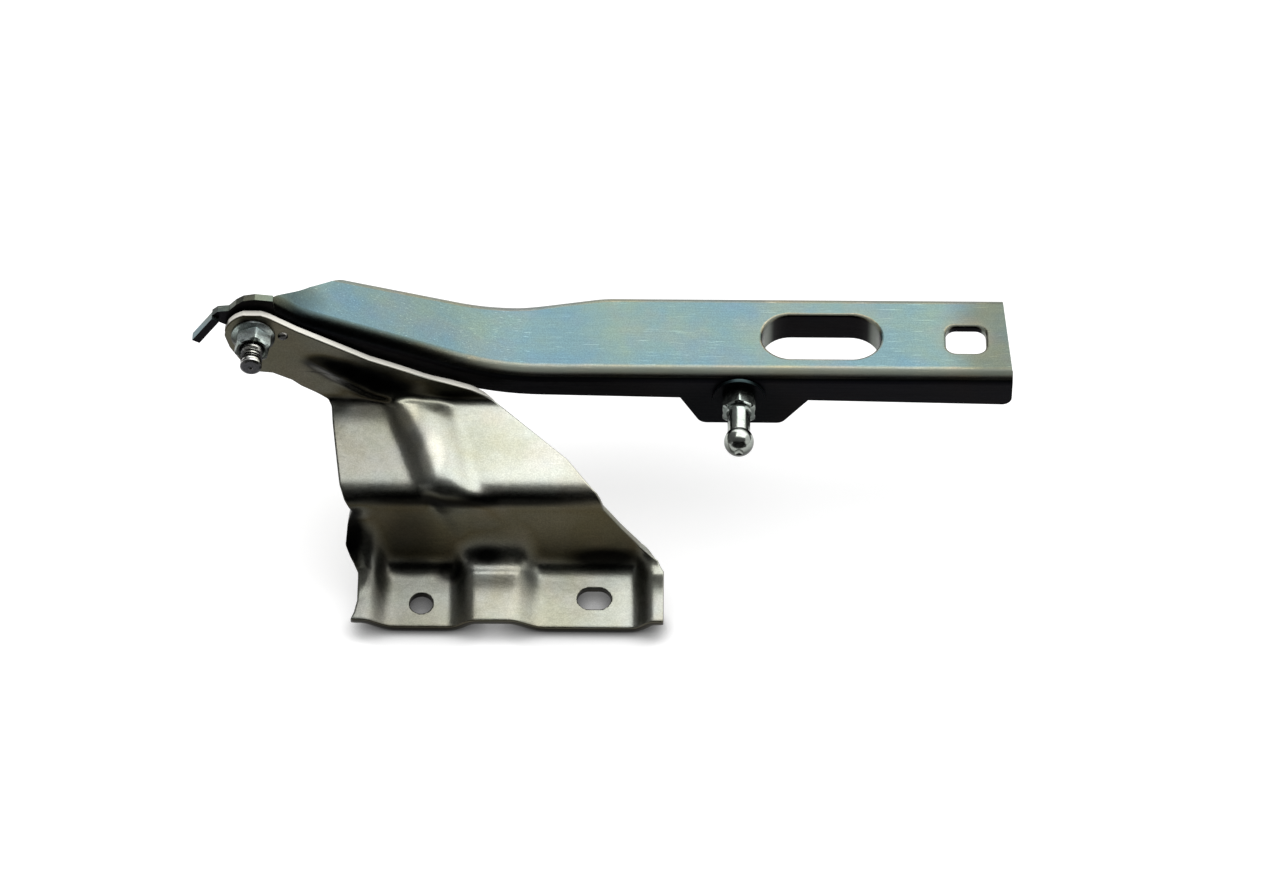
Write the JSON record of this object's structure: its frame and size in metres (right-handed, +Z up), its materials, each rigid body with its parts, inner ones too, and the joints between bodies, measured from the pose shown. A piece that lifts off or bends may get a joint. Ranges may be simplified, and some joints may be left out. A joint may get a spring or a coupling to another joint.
{
  "type": "hood hinge",
  "caption": "Pressed steel hood hinge: a body bracket with a bolted foot, a swinging arm that carries the hood, and a ball stud for the gas strut.",
  "frame": {"origin": "centre of the round body hole on the upper face of the bracket's foot", "axes": "+X along the arm away from the pivot, +Y across the hinge from the bracket's foot to the arm, +Z up, square to the arm's seat for the hood"},
  "size_m": [0.3, 0.1136, 0.0989],
  "materials": {
    "bracket_zinc": "zinc plated, slightly yellowed",
    "arm_zinc": "zinc plated, blue passivated",
    "bolt_zinc": "zinc plated",
    "nut_zinc": "zinc plated, dull",
    "stud_zinc": "zinc plated, bright"
  },
  "bodies": {
    "bracket": {"body_bracket": "bracket_zinc", "pivot_bolt": "bolt_zinc", "pivot_washer": "bolt_zinc", "pivot_nut": "nut_zinc", "plate_rivet": "bolt_zinc"},
    "arm": {"hinge_arm": "arm_zinc", "ball_stud": "stud_zinc", "ball_stud_washer": "stud_zinc"}
  },
  "joints": [
    {"name": "hood_pivot", "type": "hinge", "parent": "bracket", "child": "arm", "pos_m": [-0.0611, 0.06417, 0.07928], "axis": [0, -1, 0], "range_deg": [0, 74]}
  ]
}
